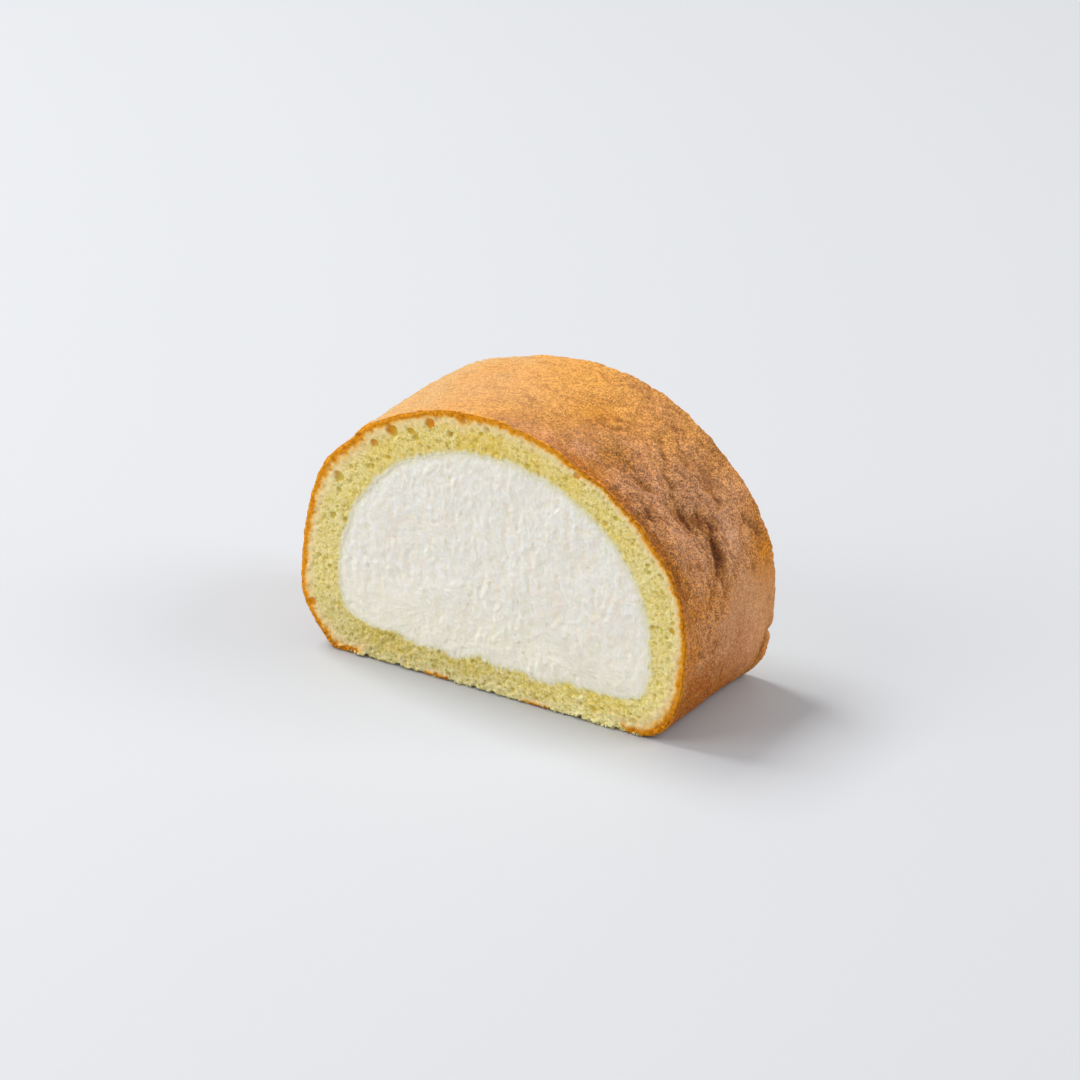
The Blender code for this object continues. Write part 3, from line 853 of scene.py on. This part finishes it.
def skin_finish(colours):
    """Browned skin: mottled, finely pitted, darker in its creases from browner skin and painted shade, lighter on the
    pressed patch partly from painted sheen, bare crumb where it has peeled.
    """
    made, tree, shader, place = new_finish("browned_skin", 0.55, 0.22, 0.08, 0.6 * MM)
    around, back = layer(tree, "around"), layer(tree, "back")
    cover, hollow = layer(tree, "cover"), layer(tree, "hollow")
    drawn = add(tree, "ShaderNodeCombineXYZ", {"X": around, "Y": sums(tree, "MULTIPLY", back, 2.2)}).outputs["Vector"]
    mottle = grain(tree, drawn, 3.6, 4.0, 0.6)
    blotch = grain(tree, place, 9.0 * MM, 3.0, 0.5)
    wander = add(tree, "ShaderNodeMath", {0: blotch, 1: 46.0, 2: around}, operation="MULTIPLY_ADD").outputs["Value"]
    colour = blend(tree, spread(tree, wander, 88.0, 112.0), colours.skin_light, colours.skin_gold)
    aslant = add(tree, "ShaderNodeMath", {0: back, 1: -0.6, 2: wander}, operation="MULTIPLY_ADD").outputs["Value"]
    colour = blend(tree, spread(tree, aslant, 106.0, 132.0, 0.0, 0.7), colour, colours.skin_brown_and_hollow_shade)
    colour = blend(tree, spread(tree, aslant, 122.0, 150.0), colour, colours.skin_dusk)
    colour = blend(tree, spread(tree, wander, 162.0, 184.0), colour, colours.skin)
    colour = blend(tree, spread(tree, wander, 178.0, 198.0), colour, colours.skin_low)
    at_back = spread(tree, back, 22.0, 34.0, 0.0, 0.7)
    shoulder = sums(tree, "MULTIPLY", spread(tree, around, 122.0, 142.0), at_back)
    colour = blend(tree, shoulder, colour, colours.skin_orange)
    mottled = sums(tree, "MULTIPLY", spread(tree, mottle, 0.50, 0.68), spread(tree, around, 40.0, 100.0, 0.3, 0.6))
    colour = blend(tree, mottled, colour, colours.skin_brown_and_hollow_shade)
    cells = add(tree, "ShaderNodeTexVoronoi", {"Vector": place, "Scale": 1.0 / (0.28 * MM)}).outputs["Color"]
    speck = add(tree, "ShaderNodeMath", {
        0: add(tree, "ShaderNodeSeparateColor", {"Color": cells}).outputs["Red"],
        1: 0.55, 2: sums(tree, "MULTIPLY", grain(tree, place, 0.42 * MM, 3.0, 0.8), 0.45),
    }, operation="MULTIPLY_ADD").outputs["Value"]
    browned = spread(tree, around, 70.0, 125.0, 0.28, 0.75)
    golden = spread(tree, around, 105.0, 140.0, 0.0, 0.45)
    colour = blend(tree, sums(tree, "MULTIPLY", spread(tree, speck, 0.5, 0.75), golden), colour, colours.skin_gold)
    # Hollows of the relief are darker: partly browner skin, partly painted shade
    colour = blend(tree, spread(tree, hollow, 0.05, 0.50, 0.0, 0.7), colour, colours.skin_brown_and_hollow_shade)
    colour = blend(tree, spread(tree, hollow, 0.40, 1.20, 0.0, 0.95), colour, colours.skin_crease_brown_and_shade)
    border = add(tree, "ShaderNodeMath", {0: mottle, 1: -5.0, 2: back}, operation="MULTIPLY_ADD").outputs["Value"]
    singed = sums(tree, "MULTIPLY", spread(tree, border, 0.4, -1.2, 0.0, 0.7), spread(tree, around, 98.0, 116.0))
    singed = sums(tree, "MULTIPLY", singed, spread(tree, around, 164.0, 148.0))
    colour = blend(tree, singed, colour, colours.skin_singed)
    pressed = layer(tree, "pressed")
    # The pressed patch is painted lighter: partly paler skin, partly painted sheen
    colour = blend(tree, sums(tree, "MULTIPLY", pressed, 0.4), colour, colours.skin_pressed_and_sheen)
    pitted = sums(tree, "MULTIPLY", browned, spread(tree, pressed, 0.0, 1.0, 1.0, 0.5))
    pitted = sums(tree, "MULTIPLY", pitted, spread(tree, around, 160.0, 175.0, 1.0, 0.6))
    lit = sums(tree, "MULTIPLY", sums(tree, "SUBTRACT", spread(tree, speck, 0.25, 0.75), 0.5), pitted)
    lit = sums(tree, "ADD", sums(tree, "ADD", lit, layer(tree, "lighter")), 0.94)
    colour = add(tree, "ShaderNodeHueSaturation", {
        "Color": colour, "Value": lit, "Saturation": sums(tree, "ADD", layer(tree, "redder"), 1.0),
    }).outputs["Color"]
    mottled = spread(tree, grain(tree, place, 0.8 * MM, 4.0, 0.75), 0.40, 0.60, 0.05, 1.0)
    rim_colour = blend(tree, sums(tree, "MULTIPLY", mottled, layer(tree, "dark")), colours.rim, colours.rim_dark)
    edge = add(tree, "ShaderNodeMath", {
        0: grain(tree, place, 1.0 * MM, 3.0, 0.6), 1: 1.6, 2: back,
    }, operation="MULTIPLY_ADD").outputs["Value"]
    colour = blend(tree, spread(tree, edge, 1.35, 0.85, 0.0, 0.9), colour, rim_colour)
    frayed = spread(tree, grain(tree, place, 2.5 * MM, 3.0, 0.6), 0.42, 0.62, 0.0, 0.8)
    behind = spread(tree, back, LENGTH / MM - 0.8, LENGTH / MM - 0.1)
    colour = blend(tree, sums(tree, "MULTIPLY", behind, frayed), colour, rim_colour)
    crumb, _ = crumb_colour(tree, place, colours, 6.0, 0.0, 0.0, 0.0)
    colour = blend(tree, cover, crumb, colour)
    tree.links.new(colour, shader.inputs["Base Color"])
    bump = raise_by(tree, grain(tree, place, 1.1 * MM, 2.0, 0.5), 0.30 * MM, 0.9)
    bump = raise_by(tree, grain(tree, place, 0.55 * MM, 4.0, 0.8), 0.22 * MM, 1.0, bump)
    tree.links.new(bump, shader.inputs["Normal"])
    tree.links.new(spread(tree, speck, 0.3, 0.7, 0.60, 0.42), shader.inputs["Roughness"])
    return made


def cream_finish(colours):
    """Whipped cream: off-white and matt, with faint smears of crumb where the knife dragged them."""
    made, tree, shader, place = new_finish("whipped_cream", 0.7, 0.2, 0.3, 0.8 * MM)
    shader.inputs["Subsurface Radius"].default_value = (1.0, 0.85, 0.7)
    pit, shore, rise = layer(tree, "pit"), layer(tree, "shore"), layer(tree, "rise")
    dragged = add(tree, "ShaderNodeMapping", {"Vector": place, "Scale": (1.0, 1.0, 0.45)}).outputs["Vector"]
    streak = grain(tree, dragged, 0.75 * MM, 3.0, 0.6, 1.6)
    smear = grain(tree, dragged, 2.4 * MM, 5.0, 0.7, 0.6)
    tint = grain(tree, dragged, 1.5 * MM, 4.0, 0.65, 0.8)
    colour = blend(tree, spread(tree, streak, 0.38, 0.62), colours.cream_shade, colours.cream)
    colour = blend(tree, spread(tree, rise, -0.02, -0.35, 0.0, 0.75), colour, colours.cream_shade)
    colour = blend(tree, spread(tree, smear, 0.50, 0.66, 0.0, 0.7), colour, colours.cream_warm)
    yellow = sums(tree, "MULTIPLY", spread(tree, tint, 0.52, 0.68, 0.0, 0.8), spread(tree, streak, 0.62, 0.4, 0.2, 1.0))
    colour = blend(tree, yellow, colour, colours.cream_yellow)
    near = add(tree, "ShaderNodeMath", {
        0: grain(tree, dragged, 1.0 * MM, 4.0, 0.7), 1: 2.6, 2: shore,
    }, operation="MULTIPLY_ADD").outputs["Value"]
    colour = blend(tree, spread(tree, near, 2.5, 1.2, 0.0, 0.8), colour, colours.cream_yellow)
    colour = blend(tree, spread(tree, pit, 0.2, 1.0, 0.0, 0.35), colour, colours.cream_shade)
    height = add(tree, "ShaderNodeSeparateXYZ", {"Vector": place}).outputs["Z"]
    colour = blend(tree, spread(tree, height, 26 * MM, 9 * MM, 0.0, 0.45), colour, colours.cream_buttery)
    tree.links.new(colour, shader.inputs["Base Color"])
    bump = raise_by(tree, streak, 0.12 * MM, 0.9)
    bump = raise_by(tree, grain(tree, place, 0.5 * MM, 3.0, 0.6), 0.10 * MM, 0.9, bump)
    tree.links.new(bump, shader.inputs["Normal"])
    return made


# ---------------------------------------------------------------- settings


def colour_setting(name, description, default):
    return bpy.props.FloatVectorProperty(
        name=name, description=description, default=default, subtype="COLOR", min=0.0, max=1.0
    )


class RollColours(bpy.types.PropertyGroup):
    """The colours of the slice, as linear values."""

    crumb: colour_setting("Crumb", "The crumb's main yellow", (0.88, 0.68, 0.19))
    crumb_pale: colour_setting("Pale crumb", "Grains, and crumb just under the skin", (0.93, 0.84, 0.47))
    crumb_warm: colour_setting("Warm crumb", "The crumb under the crown", (0.90, 0.56, 0.05))
    # Olive colour of the crumb's grain, also laid into the dips of the cut face as painted shade
    crumb_olive_and_dip_shade: colour_setting("Deep crumb", "The crumb between its grains", (0.62, 0.49, 0.07))
    # Olive tint of the pores together with painted shade inside them
    crumb_pore_olive_and_shade: colour_setting("Pores", "The inside of the crumb's pores", (0.60, 0.43, 0.03))
    crumb_soaked: colour_setting("Soaked crumb", "Crumb next to the cream", (0.72, 0.58, 0.13))
    # Painted shade standing in for the smallest holes
    pin_hole_shade: colour_setting("Pin holes", "The crumb's smallest, darkest holes", (0.28, 0.18, 0.02))
    bubble: colour_setting("Bubbles", "The inside of the large bubbles", (0.74, 0.27, 0.0))
    rim: colour_setting("Rim", "The skin where it is cut", (0.86, 0.34, 0.012))
    rim_dark: colour_setting("Dark rim", "The rim's darkest stretches", (0.42, 0.12, 0.003))
    rim_fringe: colour_setting("Rim's fringe", "Where the rim fades into the crumb", (0.94, 0.58, 0.15))
    rim_glow: colour_setting("Under the rim", "Crumb that the skin has stained", (0.96, 0.73, 0.42))
    skin_light: colour_setting("Light skin", "The palest skin, high on the left", (0.63, 0.36, 0.13))
    skin_gold: colour_setting("Golden skin", "The skin over the crown", (0.66, 0.31, 0.07))
    skin_dusk: colour_setting("Dusky skin", "The skin of the right shoulder", (0.52, 0.245, 0.125))
    skin: colour_setting("Brown skin", "The skin of the right side", (0.62, 0.29, 0.13))
    skin_low: colour_setting("Low skin", "The skin low on the right", (0.40, 0.10, 0.002))
    skin_pressed_and_sheen: colour_setting("Pressed skin", "The patch that was pressed smooth", (0.66, 0.33, 0.15))
    # The pressed patch's colour: paler skin with painted sheen
    skin_orange: colour_setting("Orange skin", "The right shoulder's back edge", (0.58, 0.20, 0.008))
    # Browner patches of the skin, also laid into its hollows partly as painted shade
    skin_brown_and_hollow_shade: colour_setting("Deep skin", "The skin's browner patches", (0.39, 0.155, 0.035))
    skin_singed: colour_setting("Singed skin", "The skin beside the front cut, on the right", (0.36, 0.12, 0.03))
    # The bottom of the creases: browner skin with painted shade
    skin_crease_brown_and_shade: colour_setting("Creases", "The bottom of the skin's creases", (0.22, 0.06, 0.012))
    cream: colour_setting("Cream", "The whipped cream", (0.95, 0.925, 0.87))
    cream_shade: colour_setting("Shaded cream", "The cream's duller streaks", (0.885, 0.845, 0.72))
    cream_warm: colour_setting("Warm cream", "Faint warm smears", (0.94, 0.81, 0.70))
    cream_buttery: colour_setting("Buttery cream", "The cream low in the core", (1.0, 0.92, 0.73))
    cream_yellow: colour_setting("Crumb smears", "Cream that crumb has tinted", (0.86, 0.80, 0.54))


class RollSizes(bpy.types.PropertyGroup):
    """Sizes that a user would change."""

    crumb_count: bpy.props.IntProperty(
        name="Loose crumbs", description="How many crumbs cling to the foot", default=70, min=0
    )
    floor_size: bpy.props.FloatProperty(
        name="Floor", description="Side of the floor", default=3.0, unit="LENGTH"
    )
    lens: bpy.props.FloatProperty(
        name="Lens", description="The camera's focal length in millimetres", default=166.7
    )


def rebuilt(mesh_of, name, finish_of, node=None):
    colours = bpy.context.scene.roll_colours
    return finished(name, mesh_of(), finish_of(colours), node)


class BuildCrumb(bpy.types.Operator):
    """Build the sponge's crumb with both cut faces"""

    bl_idname = "roll.build_crumb"
    bl_label = "Sponge crumb"

    def execute(self, context):
        rebuilt(sponge_crumb_mesh, "sponge_crumb", crumb_finish, "sponge")
        return {"FINISHED"}


class BuildSkin(bpy.types.Operator):
    """Build the browned skin wrapped round the crumb"""

    bl_idname = "roll.build_skin"
    bl_label = "Browned skin"

    def execute(self, context):
        rebuilt(browned_skin_mesh, "browned_skin", skin_finish, "sponge")
        return {"FINISHED"}


class BuildCream(bpy.types.Operator):
    """Build the core of whipped cream"""

    bl_idname = "roll.build_cream"
    bl_label = "Whipped cream"

    def execute(self, context):
        rebuilt(whipped_cream_mesh, "whipped_cream", cream_finish, "cream")
        return {"FINISHED"}


class BuildLooseCrumbs(bpy.types.Operator):
    """Build the small crumbs that cling to the foot of the slice"""

    bl_idname = "roll.build_loose_crumbs"
    bl_label = "Loose crumbs"

    def execute(self, context):
        count = context.scene.roll_sizes.crumb_count
        finish = bpy.data.materials.get("sponge_crumb") or crumb_finish(context.scene.roll_colours)
        finished("loose_crumbs", loose_crumbs_mesh(count, 5), finish)
        return {"FINISHED"}


def area_light(name, size, power, azimuth, elevation, distance, tint=(1.0, 1.0, 1.0)):
    """A soft light that looks at the slice from this direction."""
    data = bpy.data.lights.new(name, "AREA")
    data.size = size
    data.energy = power
    data.color = tint
    made = bpy.data.objects.new(name, data)
    bpy.context.scene.collection.objects.link(made)
    turn, lift = math.radians(azimuth), math.radians(elevation)
    back = Vector((math.sin(turn) * math.cos(lift), -math.cos(turn) * math.cos(lift), math.sin(lift)))
    made.location = Vector((0.0, 0.0, HEIGHT / 2)) + distance * back
    made.rotation_mode = "QUATERNION"
    made.rotation_quaternion = back.to_track_quat("Z", "Y")
    return made


class BuildStage(bpy.types.Operator):
    """Set out the floor, the soft lights and the camera"""

    bl_idname = "roll.build_stage"
    bl_label = "Stage"

    def execute(self, context):
        sizes = context.scene.roll_sizes
        mesh = bmesh.new()
        bmesh.ops.create_grid(mesh, x_segments=1, y_segments=1, size=sizes.floor_size / 2)
        data = bpy.data.meshes.new("floor")
        mesh.to_mesh(data)
        mesh.free()
        paint = bpy.data.materials.new("floor_paint")
        paint.use_nodes = True
        paint.node_tree.nodes["Principled BSDF"].inputs["Base Color"].default_value = (0.47, 0.48, 0.50, 1)
        paint.node_tree.nodes["Principled BSDF"].inputs["Roughness"].default_value = 0.6
        data.materials.append(paint)
        floor = bpy.data.objects.new("floor", data)
        context.scene.collection.objects.link(floor)
        area_light("key_light", 0.65, 22.0, -94, 56, 1.5)
        area_light("fill_light", 1.0, 11.0, -42, 35, 1.8)
        area_light("side_light", 0.8, 10.5, 112, 38, 1.6)
        world = bpy.data.worlds.new("studio")
        world.use_nodes = True
        world.node_tree.nodes["Background"].inputs["Color"].default_value = (1.0, 1.0, 1.0, 1.0)
        world.node_tree.nodes["Background"].inputs["Strength"].default_value = 0.50
        context.scene.world = world
        camera = bpy.data.cameras.new("camera")
        camera.lens = sizes.lens
        camera.sensor_width = 36.0
        eye = bpy.data.objects.new("camera", camera)
        eye.location = (0.4932, -0.7736, 0.4590)
        eye.rotation_euler = (math.radians(90 - 25.20), 0.0, math.radians(32.48))
        context.scene.collection.objects.link(eye)
        context.scene.camera = eye
        context.scene.view_settings.view_transform = "Standard"
        return {"FINISHED"}


class RollPanel(bpy.types.Panel):
    """The slice's pieces, sizes and colours"""

    bl_idname = "VIEW3D_PT_swiss_roll"
    bl_label = "Swiss roll slice"
    bl_space_type = "VIEW_3D"
    bl_region_type = "UI"
    bl_category = "Swiss roll"

    def draw(self, context):
        for operator in OPERATORS:
            self.layout.operator(operator.bl_idname)
        for settings in (context.scene.roll_sizes, context.scene.roll_colours):
            for name in settings.__annotations__:
                self.layout.prop(settings, name)


OPERATORS = (BuildStage, BuildCrumb, BuildSkin, BuildCream, BuildLooseCrumbs)
CLASSES = (RollColours, RollSizes, *OPERATORS, RollPanel)


def register():
    for each in CLASSES:
        bpy.utils.register_class(each)
    bpy.types.Scene.roll_colours = bpy.props.PointerProperty(type=RollColours)
    bpy.types.Scene.roll_sizes = bpy.props.PointerProperty(type=RollSizes)


def unregister():
    del bpy.types.Scene.roll_sizes
    del bpy.types.Scene.roll_colours
    for each in reversed(CLASSES):
        bpy.utils.unregister_class(each)


def main():
    register()
    bpy.ops.roll.build_stage()
    bpy.ops.roll.build_crumb()
    bpy.ops.roll.build_skin()
    bpy.ops.roll.build_cream()
    bpy.ops.roll.build_loose_crumbs()


if __name__ == "__main__":
    main()
